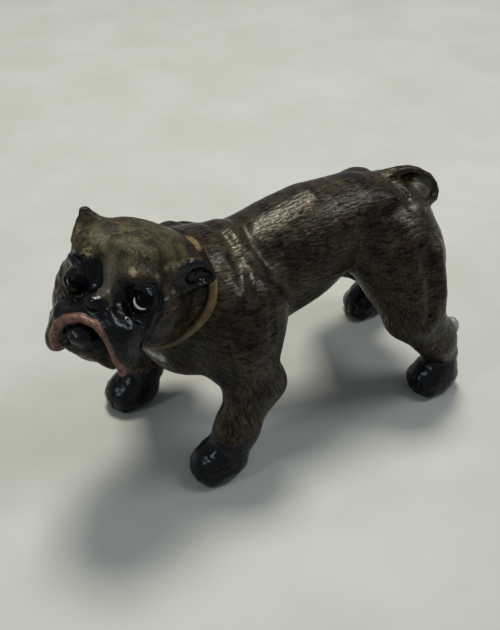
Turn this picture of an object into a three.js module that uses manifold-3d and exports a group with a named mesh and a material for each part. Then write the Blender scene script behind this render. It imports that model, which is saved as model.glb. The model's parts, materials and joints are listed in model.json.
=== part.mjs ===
// A small painted bronze bulldog, cast in separate pieces that are pegged and soldered together.
//
// Millimetres, +Z up. The dog looks towards -Y with its head turned to its left (+X), and stands
// with its soles flat on z = 0. The skin of each casting is taken from a distance field: rounded
// forms are pressed together with soft joins, as a modeller adds clay, and then the skin is cut
// at the seams. Each casting ends in a peg that seats in a socket of its neighbour.
import * as THREE from 'three';
import { mergeVertices } from 'three/addons/utils/BufferGeometryUtils.js';
import Module from 'manifold-3d';

const wasm = await Module();
wasm.setup();

// ---- Driving dimensions ---------------------------------------------------------------------
const GAP = 0.3;                  // clearance between neighbouring castings
const FUSE = 0.02;                // edges shorter than this are closed up after a cut
const BODY_STEP = 2.7;            // facet size on the torso and the legs
const FINE_STEP = 1.45;           // facet size on the head and the tail
const EAR_STEP = 1.05;            // facet size on the ears
const BOX_CENTRE = [0.08, 4.61];  // where the middle of the whole figure falls before it is centred
const HEAD_AT = [3.8, -27.5, 47.3];
const HEAD_YAW = 42;              // the head is turned to the dog's left,
const HEAD_PITCH = 22;            // lifted,
const HEAD_ROLL = 4;              // and tipped a little
const HEAD_SIZE = 0.92;
const FRONT_PAWS = { left: [15.2, -13.6], right: [-14.8, -20.4] };
const HIND_PAWS = { left: [16.7, 44.4], right: [-15.6, 48.5] };
const STEP_BACK = { left: 0, right: -5 };     // the right shoulder reaches further forward
const EYES = { left: [8.2, -8.2, 1.55], right: [-5.9, -8.6, 1.75] };    // in the head's own frame
const EYE_RADIUS = 2.3;
const COLLAR_AT = [3.0, -18.4, 43.5];
const COLLAR_AXIS = [0.369, -0.708, 0.603];   // points from the shoulders to the head
const COLLAR_WIDTH = 1.9;
const COLLAR_STANDS_OUT = 0.7;
const COLLAR_LET_IN = 0.2;
const FRONT_SEAM = [11, -6, 27];              // a point on the seam of the left front leg
const HIND_SEAM = [11, 38, 27];               // and of the left hind leg
const LEG_SEAM_AXIS = [0.75, 0, -0.66];       // points out of the body, down the left legs
const LEG_PEG = { radius: 3.4, tip: 2.8, length: 5.5 };
const NECK_PEG = { radius: 6.0, tip: 5.2, length: 6.0 };
const TAIL_PEG = { radius: 1.5, tip: 1.2, length: 5.0 };
const EAR_PEG = { radius: 0.9, tip: 0.7, length: 2.6 };
const TAIL_AT = [1.2, 38, 50];                // the root of the tail, on the rump
const TAIL_AXIS = [0, 0.2, 0.98];
const EAR_AT = { left: [11.7, 3.2, 5.2], right: [-9.2, 1.4, 10.2] };    // in the head's own frame
const EAR_AXIS = { left: [0.97, 0.17, 0.17], right: [-0.5, -0.1, 0.86] };

// ---- Forms ----------------------------------------------------------------------------------
const rad = THREE.MathUtils.degToRad;
const vec = (list) => new THREE.Vector3(...list);

// A local frame for forms that are turned and moved together, such as the head's.
const place = (origin = [0, 0, 0], yaw = 0, pitch = 0, roll = 0, size = 1) => {
  const turn = new THREE.Matrix4().makeRotationZ(rad(yaw));
  turn.multiply(new THREE.Matrix4().makeRotationX(-rad(pitch)));
  turn.multiply(new THREE.Matrix4().makeRotationY(rad(roll)));
  const point = (p) => vec(p).multiplyScalar(size).applyMatrix4(turn).add(vec(origin));
  return { turn, size, point };
};

const world = place();
const headFrame = place(HEAD_AT, HEAD_YAW, HEAD_PITCH, HEAD_ROLL, HEAD_SIZE);

// An ellipsoid, as a distance function of x, y, z. Its turn is about X, then Y, then Z.
const ball = (centre, radii, turn = [0, 0, 0], frame = world) => {
  const c = frame.point(centre);
  const r = radii.map((value) => value * frame.size);
  const own = new THREE.Euler(...turn.map(rad), 'ZYX');
  const m = frame.turn.clone().multiply(new THREE.Matrix4().makeRotationFromEuler(own)).elements;
  return (x, y, z) => {
    let k0 = 0;
    let k1 = 0;
    for (let i = 0; i < 3; i += 1) {
      const along = m[4 * i] * (x - c.x) + m[4 * i + 1] * (y - c.y) + m[4 * i + 2] * (z - c.z);
      k0 += (along / r[i]) ** 2;
      k1 += (along / r[i] ** 2) ** 2;
    }
    return (Math.sqrt(k0) * (Math.sqrt(k0) - 1)) / Math.max(Math.sqrt(k1), 1e-6);
  };
};

// A chain of tapered rounded bars through [point, radius] pairs.
const limb = (knots, frame = world) => {
  const ends = knots.map(([p, r]) => ({ p: frame.point(p), r: r * frame.size }));
  return (x, y, z) => {
    let best = Infinity;
    for (let i = 0; i + 1 < ends.length; i += 1) {
      const { p: a, r: ra } = ends[i];
      const { p: b, r: rb } = ends[i + 1];
      const [ux, uy, uz] = [b.x - a.x, b.y - a.y, b.z - a.z];
      const [vx, vy, vz] = [x - a.x, y - a.y, z - a.z];
      const along = (vx * ux + vy * uy + vz * uz) / (ux * ux + uy * uy + uz * uz);
      const t = Math.min(Math.max(along, 0), 1);
      const away = Math.hypot(vx - t * ux, vy - t * uy, vz - t * uz);
      best = Math.min(best, away - (ra + (rb - ra) * t));
    }
    return best;
  };
};

// Press a form on to the work so far, or carve it away, with a soft join as wide as blend.
const add = (form, blend) => ({ form, blend, sign: 1 });
const carve = (form, blend) => ({ form, blend, sign: -1 });

const model = (strokes) => (x, y, z) => {
  let field = Infinity;
  for (const { form, blend, sign } of strokes) {
    const distance = form(x, y, z);
    if (field === Infinity) {
      field = distance;
      continue;
    }
    const soft = Math.max(blend - Math.abs(sign * field - distance), 0);
    field = sign * (Math.min(sign * field, distance) - (soft * soft) / blend / 4);
  }
  return field;
};

// ---- The dog --------------------------------------------------------------------------------
const body = [
  add(limb([
    [[0, -9, 36.5], 9.5], [[0, 2, 40], 9.6], [[0, 17, 44.4], 9.2], [[0, 27, 44.6], 8.9],
    [[0, 35, 41.5], 8.6],
  ]), 2),
  add(ball([0, -7, 34.5], [14.6, 14, 14], [6, 0, 0]), 5),
  add(ball([0, 10, 38.4], [11.6, 17, 10.8], [11, 0, 0]), 6),
  add(ball([0, 36.5, 38], [11.5, 11.5, 11.5], [-20, 0, 0]), 6),
  add(ball([1, -14, 30], [10.5, 9.5, 9]), 5),
  add(limb([[[0, -8, 38], 12.4], [[0.5, -20, 42.5], 11.6]]), 4),
];

const frontLeg = (side) => {
  const s = side === 'left' ? 1 : -1;
  const [px, py] = FRONT_PAWS[side];
  const y = STEP_BACK[side];
  return [
    add(ball([s * 12.3, y - 6, 34.5], [6.8, 9, 12.5], [-14, 0, 0]), 4),
    add(limb([[[s * 13, y - 7.5, 31], 7], [[s * 15, y - 5.5, 22], 5.6]]), 4),
    add(limb([[[s * 15, y - 5.4, 21.5], 5.4], [[px + s * 0.3, py + 3.8, 11], 4.3]]), 3),
    add(ball([s * 15.6, y - 1.6, 21], [2.9, 3.2, 4], [25, 0, 0]), 2.5),
    add(limb([[[px + s * 0.3, py + 3.8, 11], 4.2], [[px, py + 1.4, 5], 4.4]]), 3),
    add(ball([s * 17.6, y - 2.2, 24.2], [2.2, 2.4, 3.2], [25, 0, 0]), 1.2),
    add(ball([px, py - 0.8, 3.6], [5.3, 6.2, 4.6]), 2.5),
  ];
};

const hindLeg = (side) => {
  const s = side === 'left' ? 1 : -1;
  const [px, py] = HIND_PAWS[side];
  const hock = [px * 0.98, py - 2.4, 15.5];
  return [
    add(ball([s * 9, 36, 34], [7.8, 10.6, 13], [25, 0, 0]), 4),
    add(limb([[[s * 12.5, 35, 31], 7.6], [[s * 15, 35.6, 24], 6.9], [hock, 4.7]]), 3),
    add(limb([[[s * 14.6, 40, 38.4], 1.9], [[s * 18.4, 39.4, 30], 1.9], [[s * 18.2, 39.6, 22], 1.9]]), 2),
    add(limb([[hock, 4.4], [[px, py + 0.6, 10], 3.8], [[px, py + 0.4, 4.5], 4.2]]), 3),
    add(ball([px * 0.98, py + 2.3, 16.4], [1.9, 2.2, 2.6]), 0.8),
    add(ball([px, py - 1.4, 3.7], [5, 5.9, 4.7]), 2.5),
  ];
};

const onHead = (centre, radii, turn) => ball(centre, radii, turn, headFrame);

const shifted = ([x, y, z], [u, v, w]) => [x + u, y + v, z + w];

const cheek = (s) => [
  add(onHead([s * 8, 0.4, -4.3], [6.2, 8.3, 8.4]), 4),
  add(onHead([s * 4.6, -5.4, 8.6], [4.4, 4.2, 3.6]), 2.5),
];

const flew = (s) => [
  add(onHead([s * 4.3, -10.8, -5], [4.8, 4.2, 4.6], [0, s * -18, 0]), 2),
  add(onHead([s * 7.6, -9.6, -9.2], [2.7, 4.2, 4.4], [0, s * -10, 0]), 2),
];

// A round hollow for the eye under a rim of brow.
const orbit = (side) => {
  const s = side === 'left' ? 1 : -1;
  const rim = [[-3.2, -1, 2.4], [-2.2, -1.6, 3.9], [-0.4, -1.4, 4.7], [1.6, -0.4, 4.4]];
  const knots = rim.map(([u, v, w]) => [shifted(EYES[side], [s * u, v, w]), 1]);
  return [
    carve(onHead(shifted(EYES[side], [s * 0.3, -4.4, 0.2]), [4.5, 4, 4]), 2.2),
    add(limb(knots, headFrame), 2.2),
    add(onHead([0.8 + s * 4.9, -8.7, 7], [2.3, 1.8, 1.3]), 1.8),
  ];
};

const bridge = [
  [[1.3, -7.8, 9.4], 0.8], [[1.3, -9.9, 6.2], 0.9], [[1.1, -11.4, 3.6], 1.1], [[0.9, -12.8, 2.1], 1.3],
];
const lip = [
  [-6.6, -12.9, -11.4], [-7.2, -13.7, -8.8], [-6.5, -14.2, -6.3], [-4.5, -14.5, -4.4], [-1.4, -14.9, -3.3],
  [1.6, -14.9, -3.7], [3.9, -14.3, -5.7], [5.3, -13.5, -8.4], [6.5, -12.7, -10.8], [7.5, -12, -13],
];

const head = [
  add(onHead([0, 1.2, 3.4], [11.7, 11.9, 10.7]), 4),
  ...cheek(1),
  ...cheek(-1),
  add(onHead([0, -8.6, -4], [8.6, 5.8, 5.6]), 3),
  ...flew(1),
  ...flew(-1),
  add(limb(bridge, headFrame), 2.6),
  ...orbit('left'),
  ...orbit('right'),
  add(onHead([0.8, -13.7, 0.3], [2.8, 1.5, 1.6]), 0.8),                  // nose
  carve(onHead([-0.3, -14.6, -9.6], [5.6, 3, 5.3]), 0.8),                // open mouth
  add(onHead([-0.2, -10.3, -9.2], [5.3, 4, 3.9]), 0.8),                  // lower jaw
  add(onHead([3.8, -10, -10.6], [3.2, 3, 3]), 0.8),
  add(onHead([-1.1, -13.2, -7], [3.6, 2.5, 2.6]), 0.8),                  // chin
  add(limb(lip.map((p) => [p, 1]), headFrame), 0.8),
];

// A short tail that curls over to the left and is pressed on to the rump.
const tail = [
  add(ball([3.6, 42, 46], [3.6, 4.8, 3.8], [0, -20, 0]), 0.5),
  add(ball([6.8, 43, 43.6], [2.4, 3.6, 3]), 1.2),
  add(limb([
    [[1, 34, 50], 2.6], [[1.3, 38.6, 51.2], 2.2], [[1.6, 42.4, 51], 1.9], [[2.2, 45.8, 49.4], 1.7],
    [[3.4, 47.4, 46.9], 1.6], [[5, 46.8, 45], 1.5], [[6.6, 45, 44.4], 1.3],
  ]), 0.8),
];

// The left ear is folded back like a rose petal with its hollow outwards; the right one is pricked.
const leftEar = [
  add(onHead([11.4, 1, 5], [2.6, 4.6, 2.8]), 1),
  add(onHead([13.6, 3.6, 5.4], [1.5, 6.2, 2.6], [0, 0, -24]), 1),
  add(onHead([16.8, 8, 5], [1.2, 3.4, 1.6], [0, 0, -50]), 0.8),
  add(limb([
    [[10.4, -3.4, 6.4], 1.4], [[12, 0, 7.2], 1.3], [[13.8, 2.8, 8.1], 1.2], [[15.3, 6.2, 7.4], 1.1],
    [[17.2, 8.8, 6], 1], [[19, 9.3, 4.9], 0.9],
  ], headFrame), 0.7),
  add(limb([
    [[11.8, -2.8, 2.2], 1.1], [[13.6, 1.8, 3], 1], [[15.4, 5.2, 3.8], 0.9], [[17.4, 7.8, 4.1], 0.8],
    [[19, 8.9, 4.4], 0.8],
  ], headFrame), 0.6),
  carve(onHead([15.7, 4, 5.6], [1.4, 4, 1.6], [0, 0, -26]), 0.5),
];
const rightEar = [
  add(limb([[[-8.8, 1.5, 8.2], 3], [[-9.9, 1, 11.4], 1.8], [[-10.6, 0.6, 13.2], 1]], headFrame), 1),
  add(limb([[[-6, 3, 10.4], 2], [[-8.4, 1.6, 11.9], 1.2], [[-10.4, 0.7, 13.1], 0.9]], headFrame), 1.2),
  carve(onHead([-12, 0.4, 10.6], [1.2, 1.4, 2.3], [-8, -10, 0]), 0.7),
];

// ---- Skins ----------------------------------------------------------------------------------
// A point drawn on to the surface along the field's slope, unless it would leave its cell.
const settled = (field, level, [x, y, z], step) => {
  const e = step / 8;
  const here = field(x, y, z) - level;
  const slope = new THREE.Vector3(
    field(x + e, y, z) - field(x - e, y, z),
    field(x, y + e, z) - field(x, y - e, z),
    field(x, y, z + e) - field(x, y, z - e),
  ).divideScalar(2 * e);
  const move = slope.multiplyScalar(-here / Math.max(slope.lengthSq(), 0.25));
  move.clampLength(0, step / 4);
  return [x + move.x, y + move.y, z + move.z];
};

// Where the corners of a grid face lie inside and outside by turns, the surface would meet itself
// along a line, so the weakest of them changes sides.
const untangle = (value, jump) => {
  for (let n = 0; n + jump[1] + jump[2] < value.length; n += 1) {
    for (const [u, v] of [[jump[0], jump[1]], [jump[1], jump[2]], [jump[2], jump[0]]]) {
      const ring = [n, n + u, n + u + v, n + v];
      const [a, b, c, d] = ring.map((corner) => value[corner] < 0);
      if (a !== c || b !== d || a === b) continue;
      const weakest = ring.reduce((x, y) => (Math.abs(value[y]) < Math.abs(value[x]) ? y : x));
      value[weakest] *= -1;
    }
  }
};

// The surface where the field is at the level, as a closed mesh: each cell of the grid that the
// surface passes through holds one point, and each grid edge that crosses it carries a quad. The
// box from low to high closes whatever runs out through its sides.
const skin = (field, low, high, step, level = 0) => {
  const count = [0, 1, 2].map((k) => Math.ceil((high[k] - low[k]) / step) + 1);
  const jump = [1, count[0], count[0] * count[1]];
  const total = count[0] * count[1] * count[2];
  const cornerOf = (n) => [n % count[0], Math.floor(n / jump[1]) % count[1], Math.floor(n / jump[2])];
  const value = new Float64Array(total);
  for (let n = 0; n < total; n += 1) {
    const corner = cornerOf(n);
    const [x, y, z] = corner.map((c, axis) => low[axis] + c * step);
    const onSide = corner.some((c, axis) => c === 0 || c === count[axis] - 1);
    value[n] = Math.max(field(x, y, z) - level, onSide ? step / 2 : -Infinity);
  }
  untangle(value, jump);

  const points = [];
  const pointOf = new Int32Array(total).fill(-1);
  for (let n = 0; n < total; n += 1) {
    const corner = cornerOf(n);
    if (corner.some((c, axis) => c + 1 >= count[axis])) continue;
    const sum = [0, 0, 0];
    let crossings = 0;
    for (let axis = 0; axis < 3; axis += 1) {
      const [u, v] = [(axis + 1) % 3, (axis + 2) % 3];
      for (const [du, dv] of [[0, 0], [1, 0], [0, 1], [1, 1]]) {
        const start = n + du * jump[u] + dv * jump[v];
        const [a, b] = [value[start], value[start + jump[axis]]];
        if (a < 0 === b < 0) continue;
        sum[axis] += corner[axis] + a / (a - b);
        sum[u] += corner[u] + du;
        sum[v] += corner[v] + dv;
        crossings += 1;
      }
    }
    if (crossings === 0) continue;
    const mean = sum.map((s, axis) => low[axis] + (s / crossings) * step);
    pointOf[n] = points.length / 3;
    points.push(...settled(field, level, mean, step));
  }

  const faces = [];
  for (let n = 0; n < total; n += 1) {
    for (let axis = 0; axis < 3; axis += 1) {
      const [u, v] = [(axis + 1) % 3, (axis + 2) % 3];
      const [a, b] = [value[n], value[n + jump[axis]]];
      if (n + jump[axis] >= total || a < 0 === b < 0) continue;
      const quad = [n - jump[u] - jump[v], n - jump[v], n, n - jump[u]].map((cell) => pointOf[cell]);
      if (a > 0) quad.reverse();
      faces.push(quad[0], quad[1], quad[2], quad[0], quad[2], quad[3]);
    }
  }
  return solid(points, faces);
};

// ---- Solids ---------------------------------------------------------------------------------
const solid = (points, faces) => {
  const vertProperties = new Float32Array(points);
  const triVerts = new Uint32Array(faces);
  return new wasm.Manifold(new wasm.Mesh({ numProp: 3, vertProperties, triVerts, tolerance: FUSE }));
};

// A three.js geometry with merged vertices, placed by a matrix, as a solid.
const solidFrom = (geometry, matrix) => {
  geometry.deleteAttribute('normal');
  geometry.deleteAttribute('uv');
  const merged = mergeVertices(geometry).applyMatrix4(matrix);
  return solid(merged.attributes.position.array, merged.index.array);
};

const whole = new THREE.Matrix4();
const REACH = 120;                // longer than the figure, for the cutting blocks

// A matrix that stands a shape's own +Z along the axis, with its base at the point.
const along = (point, axis) => {
  const z = vec(axis).normalize();
  const x = new THREE.Vector3(0, 1, 0).cross(z).normalize();
  const y = z.clone().cross(x);
  return new THREE.Matrix4().makeBasis(x, y, z).setPosition(vec(point));
};

// Everything beyond a seam: a block whose base lies on it, set back by the clearance on request.
const beyond = (point, axis, setBack = 0) => {
  const block = new THREE.BoxGeometry(2 * REACH, 2 * REACH, REACH);
  return solidFrom(block.translate(0, 0, REACH / 2 - setBack), along(point, axis));
};

// The quarter of space that holds one leg: its side of the dog, and the front or the hind half.
const quarter = (side, end) => {
  const block = new THREE.BoxGeometry(REACH, REACH, 2 * REACH);
  const x = side === 'left' ? REACH / 2 : -REACH / 2;
  const midway = (FRONT_SEAM[1] + HIND_SEAM[1]) / 2;
  return solidFrom(block.translate(x, midway + (end === 'hind' ? REACH / 2 : -REACH / 2), 0), whole);
};

// A tapered peg that runs back from the seam, or its socket when it is grown by the clearance.
const PEG_ROOT = 1.2;             // how far a peg starts inside its own casting
const PEG_SIDES = 20;
const peg = (point, axis, { radius, tip, length }, grow = 0) => {
  const root = PEG_ROOT + 6 * grow;
  const reach = length + grow + root;
  const slope = (radius - tip) / (length + PEG_ROOT);
  const wide = radius + grow + 6 * grow * slope;
  const bar = new THREE.CylinderGeometry(wide, wide - reach * slope, reach, PEG_SIDES);
  bar.rotateX(Math.PI / 2);
  bar.translate(0, 0, root - reach / 2);
  return solidFrom(bar, along(point, axis));
};

// How far the neck reaches from the middle of the collar at an angle about the collar's axis.
const collarPlace = along(COLLAR_AT, COLLAR_AXIS);
const neckReach = (field, angle) => {
  const at = new THREE.Vector3();
  let [inside, outside] = [3, 22];
  for (let pass = 0; pass < 16; pass += 1) {
    const middle = (inside + outside) / 2;
    at.set(middle * Math.cos(angle), middle * Math.sin(angle), 0).applyMatrix4(collarPlace);
    if (field(at.x, at.y, at.z) < 0) inside = middle;
    else outside = middle;
  }
  return inside;
};

// A strap that follows the neck all the way round: from offset inner to outer off the skin.
const COLLAR_SIDES = 56;
const strap = (field, inner, outer, width) => {
  const outline = (offset) => Array.from({ length: COLLAR_SIDES }, (_, i) => {
    const angle = (2 * Math.PI * i) / COLLAR_SIDES;
    const reach = neckReach(field, angle) + offset;
    return new THREE.Vector2(reach * Math.cos(angle), reach * Math.sin(angle));
  });
  const shape = new THREE.Shape(outline(outer));
  shape.holes.push(new THREE.Path(outline(inner)));
  const band = new THREE.ExtrudeGeometry(shape, { depth: width, bevelEnabled: false });
  band.translate(0, 0, -width / 2);
  return solidFrom(band, collarPlace);
};

// ---- Castings -------------------------------------------------------------------------------
const animal = model([
  ...body, ...frontLeg('left'), ...frontLeg('right'), ...hindLeg('left'), ...hindLeg('right'), ...head,
]);
const ground = solidFrom(new THREE.BoxGeometry(REACH, REACH, 10).translate(0, 0, -5), whole);
const roughBody = skin(animal, [-26, -34, -3], [26, 58, 62], BODY_STEP).subtract(ground);
const roughHead = skin(animal, [-16, -52, 22], [30, -4, 70], FINE_STEP);

const mirrored = ([x, y, z]) => [-x, y, z];
const legs = [];
for (const side of ['left', 'right']) {
  const turned = (list) => (side === 'left' ? list : mirrored(list));
  for (const [end, seam] of [['front', FRONT_SEAM], ['hind', HIND_SEAM]]) {
    legs.push({ side, end, at: turned(seam), axis: turned(LEG_SEAM_AXIS) });
  }
}

const headTurned = (list) => vec(list).applyMatrix4(headFrame.turn).toArray();
const onHeadPoint = (list) => headFrame.point(list).toArray();

const pieces = {};
pieces.torso = roughBody.subtract(beyond(COLLAR_AT, COLLAR_AXIS, GAP));
pieces.torso = pieces.torso.subtract(peg(COLLAR_AT, COLLAR_AXIS, NECK_PEG, GAP));
for (const { side, end, at, axis } of legs) {
  const corner = quarter(side, end);
  const leg = roughBody.intersect(corner).intersect(beyond(at, axis));
  pieces[`${end}_${side}_leg`] = leg.add(peg(at, axis, LEG_PEG));
  pieces.torso = pieces.torso.subtract(beyond(at, axis, GAP).intersect(corner));
  pieces.torso = pieces.torso.subtract(peg(at, axis, LEG_PEG, GAP));
}

const groove = strap(animal, -COLLAR_LET_IN - GAP, COLLAR_STANDS_OUT + 3, COLLAR_WIDTH + 2 * GAP);
const overCollar = strap(animal, -COLLAR_LET_IN - GAP, COLLAR_STANDS_OUT + GAP, COLLAR_WIDTH + 2 * GAP);
pieces.collar = strap(animal, -COLLAR_LET_IN, COLLAR_STANDS_OUT, COLLAR_WIDTH);
pieces.torso = pieces.torso.subtract(groove);
pieces.head = roughHead.intersect(beyond(COLLAR_AT, COLLAR_AXIS));
pieces.head = pieces.head.add(peg(COLLAR_AT, COLLAR_AXIS, NECK_PEG)).subtract(groove);
for (const at of [EYES.left, EYES.right]) {
  const eyeball = new THREE.SphereGeometry(EYE_RADIUS, 18, 12);
  const eyePlace = new THREE.Matrix4().setPosition(headFrame.point(at));
  pieces.head = pieces.head.add(solidFrom(eyeball, eyePlace));
}

const clearHead = skin(animal, [-16, -52, 22], [30, -4, 70], FINE_STEP, 1.2 * GAP);
for (const [side, strokes] of [['left', leftEar], ['right', rightEar]]) {
  const [at, axis] = [onHeadPoint(EAR_AT[side]), headTurned(EAR_AXIS[side])];
  const rough = skin(model(strokes), [-16, -40, 44], [26, -8, 72], EAR_STEP);
  const ear = rough.subtract(clearHead).subtract(overCollar);
  pieces[`${side}_ear`] = ear.add(peg(at, axis, EAR_PEG));
  pieces.head = pieces.head.subtract(peg(at, axis, EAR_PEG, GAP));
}

const clearBody = skin(animal, [-20, 24, 26], [20, 56, 62], BODY_STEP, 1.3 * GAP);
pieces.tail = skin(model(tail), [-8, 30, 34], [16, 54, 56], FINE_STEP).subtract(clearBody);
pieces.tail = pieces.tail.add(peg(TAIL_AT, TAIL_AXIS, TAIL_PEG));
pieces.torso = pieces.torso.subtract(peg(TAIL_AT, TAIL_AXIS, TAIL_PEG, GAP));

// ---- Figure ---------------------------------------------------------------------------------
const paint = {
  brown: { color: 0x2a211b, roughness: 0.42, metalness: 0.35 },
  ochre: { color: 0x8a6a35, roughness: 0.5, metalness: 0.25 },
};
const figure = new THREE.Group();
figure.name = 'bulldog';
for (const [name, piece] of Object.entries(pieces)) {
  const { vertProperties, triVerts } = piece.getMesh();
  const geometry = new THREE.BufferGeometry();
  geometry.setAttribute('position', new THREE.BufferAttribute(vertProperties, 3));
  geometry.setIndex(new THREE.BufferAttribute(triVerts, 1));
  const finish = name === 'collar' ? paint.ochre : paint.brown;
  const mesh = new THREE.Mesh(geometry, new THREE.MeshStandardMaterial(finish));
  mesh.name = name;
  figure.add(mesh);
}
figure.position.set(-BOX_CENTRE[0], -BOX_CENTRE[1], 0);

export default figure;
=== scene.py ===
"""A small painted bronze bulldog on a pale floor.

The dog is modelled as a sculptor works: rounded forms are pressed on to a distance field and
creases are cut into it, in millimetres, in the frame of the forms (the dog looks towards -Y).
The field is then divided into the castings of the CAD model, each casting's skin is taken, its
coat is chased with short strokes that follow the lie of the hair, and it is set in metres over
its CAD node.
"""
import json
import math

import bpy
import numpy as np
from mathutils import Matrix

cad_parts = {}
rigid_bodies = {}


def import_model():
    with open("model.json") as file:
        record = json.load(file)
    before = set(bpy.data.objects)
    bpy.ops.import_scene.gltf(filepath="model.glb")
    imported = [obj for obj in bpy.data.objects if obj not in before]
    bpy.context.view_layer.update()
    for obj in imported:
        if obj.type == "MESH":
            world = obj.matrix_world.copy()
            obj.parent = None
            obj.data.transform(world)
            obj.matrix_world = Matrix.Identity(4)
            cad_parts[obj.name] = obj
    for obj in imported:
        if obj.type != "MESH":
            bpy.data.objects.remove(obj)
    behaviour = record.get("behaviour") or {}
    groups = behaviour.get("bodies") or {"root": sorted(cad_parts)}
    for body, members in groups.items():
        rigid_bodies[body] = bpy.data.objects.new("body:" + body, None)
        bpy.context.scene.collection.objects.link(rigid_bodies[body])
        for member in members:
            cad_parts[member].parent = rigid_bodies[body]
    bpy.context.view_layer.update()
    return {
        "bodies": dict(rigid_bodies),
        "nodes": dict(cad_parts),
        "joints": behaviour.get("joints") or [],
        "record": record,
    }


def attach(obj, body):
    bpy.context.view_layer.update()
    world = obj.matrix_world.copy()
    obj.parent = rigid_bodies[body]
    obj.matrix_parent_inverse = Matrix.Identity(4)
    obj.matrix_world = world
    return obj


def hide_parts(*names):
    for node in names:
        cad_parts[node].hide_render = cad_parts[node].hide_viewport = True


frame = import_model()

import openvdb
from mathutils import Euler, Vector

# ---- Driving dimensions, in millimetres -------------------------------------------------------
BODY_BOX = ((-25, -50, -1), (26, 57, 66))
BODY_STEP = 0.26           # grid of the torso, the legs and the tail
HEAD_BOX = ((-15, -48, 26), (25, -6, 66))
HEAD_STEP = 0.17           # grid of the head, the ears and the collar
LAP = 0.3                  # how far neighbouring skins reach past their seam
INSET = 0.02               # how far the lapped skin lies below its neighbour's
SOFT_SEAM = 0.8            # fillet where the ears and the tail join the dog
EAR_PARTING = 2            # the ears lie on either side of this X
HEAD_AT = (3.8, -27.5, 47.3)
HEAD_SIZE = 0.92
FRONT_PAWS = {1: (15.2, -13.6), -1: (-14.8, -20.4)}      # left is 1 and right is -1, as in X
HIND_PAWS = {1: (16.7, 44.4), -1: (-15.6, 48.5)}
STEP_BACK = {1: 0.0, -1: -5.0}                           # the right shoulder reaches forward
COLLAR_AT = (3.0, -18.4, 43.5)
COLLAR_AXIS = (0.369, -0.708, 0.603)
COLLAR_WIDTH = 1.9
COLLAR_STANDS_OUT = 0.7
COLLAR_SHIFT = 0.35             # of the strap towards the body
STROKE_DEPTH = 0.11        # of the chased hair
THROAT_CHIP = (6.0, -23.0, 29.8)     # where the paint is worn to the metal
HOCK_CHIP = (16.6, 47.8, 17.6)
PAW_PAINT_TOP = 10.8
FRONT_SEAM = (11, -6, 27)
HIND_SEAM = (11, 38, 27)
LEG_SEAM_AXIS = (0.75, 0, -0.66)
BOX_CENTRE = (0.08, 4.61, 0.0)   # the middle of the CAD box in the frame of the forms


# ---- Forms --------------------------------------------------------------------------------------
class Frame:
    """A local frame: forms given in it are turned and moved with it."""

    def __init__(self, origin=(0, 0, 0), yaw=0.0, pitch=0.0, roll=0.0, size=1.0):
        turn = Euler((0, 0, math.radians(yaw))).to_matrix()
        turn = turn @ Euler((-math.radians(pitch), 0, 0)).to_matrix()
        turn = turn @ Euler((0, math.radians(roll), 0)).to_matrix()
        self.turn, self.origin, self.size = np.array(turn), np.array(origin, float), size

    def point(self, p):
        return self.origin + self.size * (self.turn @ np.array(p, float))

    def local(self, points):
        return (points - self.origin) @ self.turn / self.size


WORLD = Frame()
HEAD = Frame(HEAD_AT, yaw=42, pitch=22, roll=4, size=HEAD_SIZE)


class Ball:
    """An ellipsoid."""

    def __init__(self, centre, radii, turn=(0, 0, 0), frame=WORLD):
        self.centre = frame.point(centre)
        self.radii = np.array(radii if hasattr(radii, "__len__") else [radii] * 3, float) * frame.size
        own = Euler([math.radians(a) for a in turn]).to_matrix()
        self.axes = frame.turn @ np.array(own)
        reach = np.sqrt(((self.axes * self.radii) ** 2).sum(1))
        self.low, self.high = self.centre - reach, self.centre + reach

    def distance(self, x, y, z):
        x, y, z = x - self.centre[0], y - self.centre[1], z - self.centre[2]
        own = [a[0] * x + a[1] * y + a[2] * z for a in self.axes.T]
        k0 = np.sqrt(sum((a / r) ** 2 for a, r in zip(own, self.radii)))
        k1 = np.sqrt(sum((a / r ** 2) ** 2 for a, r in zip(own, self.radii)))
        return k0 * (k0 - 1) / np.maximum(k1, 1e-6)


class Limb:
    """A chain of tapered rounded bars through (point, radius) knots."""

    def __init__(self, knots, frame=WORLD):
        self.knots = [(frame.point(p), r * frame.size) for p, r in knots]
        self.low = np.min([p - r for p, r in self.knots], 0)
        self.high = np.max([p + r for p, r in self.knots], 0)

    def distance(self, x, y, z):
        best = None
        for (a, ra), (b, rb) in zip(self.knots, self.knots[1:]):
            u = b - a
            t = ((x - a[0]) * u[0] + (y - a[1]) * u[1] + (z - a[2]) * u[2]) / (u @ u)
            t = np.clip(t, 0, 1)
            away = (x - a[0] - t * u[0]) ** 2 + (y - a[1] - t * u[1]) ** 2 + (z - a[2] - t * u[2]) ** 2
            d = np.sqrt(away) - (ra + (rb - ra) * t)
            best = d if best is None else np.minimum(best, d)
        return best


def crease(points, radius=0.3, frame=WORLD):
    """A thin limb that fades out at both ends, for a fold or a cut line."""
    last = len(points) - 1
    return Limb([(p, radius * (0.35 if i in (0, last) else 1.0)) for i, p in enumerate(points)], frame)


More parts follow.
